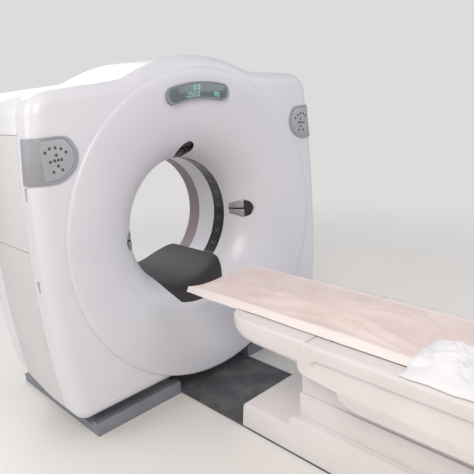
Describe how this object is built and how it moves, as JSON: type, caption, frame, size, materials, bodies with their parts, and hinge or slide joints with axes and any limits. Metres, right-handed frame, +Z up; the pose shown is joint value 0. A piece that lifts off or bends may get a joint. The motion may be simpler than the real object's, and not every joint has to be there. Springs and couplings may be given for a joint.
{
  "type": "ct scanner",
  "caption": "Tomography scanner: a tilting ring gantry with a dished bore, curved display and control pads, and a lifting table with a sliding, sheet-covered cradle.",
  "frame": {"origin": "on the floor, straight below the centre of the scan plane on the bore axis", "axes": "+Y along the bore from the table to the rear, +Z up, +X to the right seen from the table"},
  "size_m": [1.809, 3.48, 1.7425],
  "materials": {
    "cover_white": "smooth painted moulding, cool white",
    "table_white": "smooth painted moulding, warm white",
    "bore_brown": "grey-brown moulding",
    "scan_film": "dark X-ray window film",
    "liner_dark": "dark grey moulding",
    "panel_grey": "mid grey moulding",
    "panel_dark": "dark grey moulding",
    "display_glass": "dark display window",
    "frame_paint": "dark blue-grey paint",
    "plate_paint": "worn dark grey paint",
    "machine_steel": "machined steel",
    "motor_grey": "grey paint",
    "rotor_alloy": "machined alloy",
    "detector_black": "black housing",
    "slip_copper": "copper alloy tracks",
    "belt_rubber": "black belt",
    "cradle_shell": "dark fibre composite",
    "linen": "pinkish white cotton"
  },
  "bodies": {
    "base": {"base_frame": "frame_paint", "floor_plate": "plate_paint", "left_upright": "frame_paint", "right_upright": "frame_paint", "left_trunnion_bearing": "machine_steel", "right_trunnion_bearing": "machine_steel", "tilt_gearmotor": "motor_grey", "table_base": "frame_paint", "pedestal_cover": "table_white"},
    "shroud": {"middle_shroud": "table_white"},
    "table": {"upper_shroud": "table_white", "table_chassis": "machine_steel", "table_nose_cover": "table_white", "table_left_cover": "table_white", "table_right_cover": "table_white", "table_foot_cover": "table_white", "cradle_motor": "motor_grey"},
    "bed": {"cradle": "cradle_shell", "sheet": "linen", "folded_sheet": "linen"},
    "gantry": {"tilt_frame": "frame_paint", "main_bearing": "machine_steel", "front_cover": "cover_white", "front_dish": "cover_white", "laser_window_right": "panel_grey", "laser_window_top": "panel_dark", "laser_window_left": "panel_grey", "rear_cover": "cover_white", "rear_dish": "cover_white", "top_cover": "cover_white", "left_upper_panel": "cover_white", "left_lower_panel": "cover_white", "right_upper_panel": "cover_white", "right_lower_panel": "cover_white", "scan_window": "scan_film", "bore_liner": "cover_white", "bore_rear_liner": "bore_brown", "bore_lower_liner": "liner_dark", "display_bezel": "panel_dark", "display_lens": "display_glass", "left_control_panel": "panel_grey", "right_control_panel": "panel_grey", "left_keypad": "panel_dark", "right_keypad": "panel_dark", "drive_motor": "machine_steel", "drive_belt": "belt_rubber", "brush_block": "motor_grey", "left_fan_frame": "detector_black", "right_fan_frame": "detector_black"},
    "rotor": {"rotor_drum": "rotor_alloy", "xray_tube": "rotor_alloy", "collimator": "motor_grey", "detector_array": "detector_black", "high_voltage_tank": "rotor_alloy", "inverter": "motor_grey", "slip_ring": "slip_copper"},
    "pulley": {"drive_pulley": "machine_steel"},
    "fan_left": {"left_fan": "detector_black"},
    "fan_right": {"right_fan": "detector_black"}
  },
  "joints": [
    {"name": "gantry_tilt", "type": "hinge", "parent": "base", "child": "gantry", "pos_m": [0, 0, 0.88], "axis": [1, 0, 0], "range_deg": [-20, 30]},
    {"name": "rotor_spin", "type": "hinge", "parent": "gantry", "child": "rotor", "pos_m": [0, 0, 0.88], "axis": [0, 1, 0], "continuous": true},
    {"name": "pulley_spin", "type": "hinge", "parent": "gantry", "child": "pulley", "pos_m": [-0.5268, -0.07, 0.3532], "axis": [0, 1, 0], "continuous": true},
    {"name": "left_fan_spin", "type": "hinge", "parent": "gantry", "child": "fan_left", "pos_m": [-0.3, 0.187, 1.44], "axis": [0, 1, 0], "continuous": true},
    {"name": "right_fan_spin", "type": "hinge", "parent": "gantry", "child": "fan_right", "pos_m": [0.3, 0.187, 1.44], "axis": [0, 1, 0], "continuous": true},
    {"name": "table_lift", "type": "slide", "parent": "base", "child": "table", "axis": [0, 0, 1], "range_m": [0, 0.25]},
    {"name": "shroud_lift", "type": "slide", "parent": "base", "child": "shroud", "axis": [0, 0, 1], "range_m": [0, 0.125]},
    {"name": "cradle_slide", "type": "slide", "parent": "table", "child": "bed", "axis": [0, 1, 0], "range_m": [-0.27, 1.2]}
  ],
  "couplings": [
    {"joint": "pulley_spin", "follows": "rotor_spin", "ratio": 14.556},
    {"joint": "shroud_lift", "follows": "table_lift", "ratio": 0.5}
  ]
}
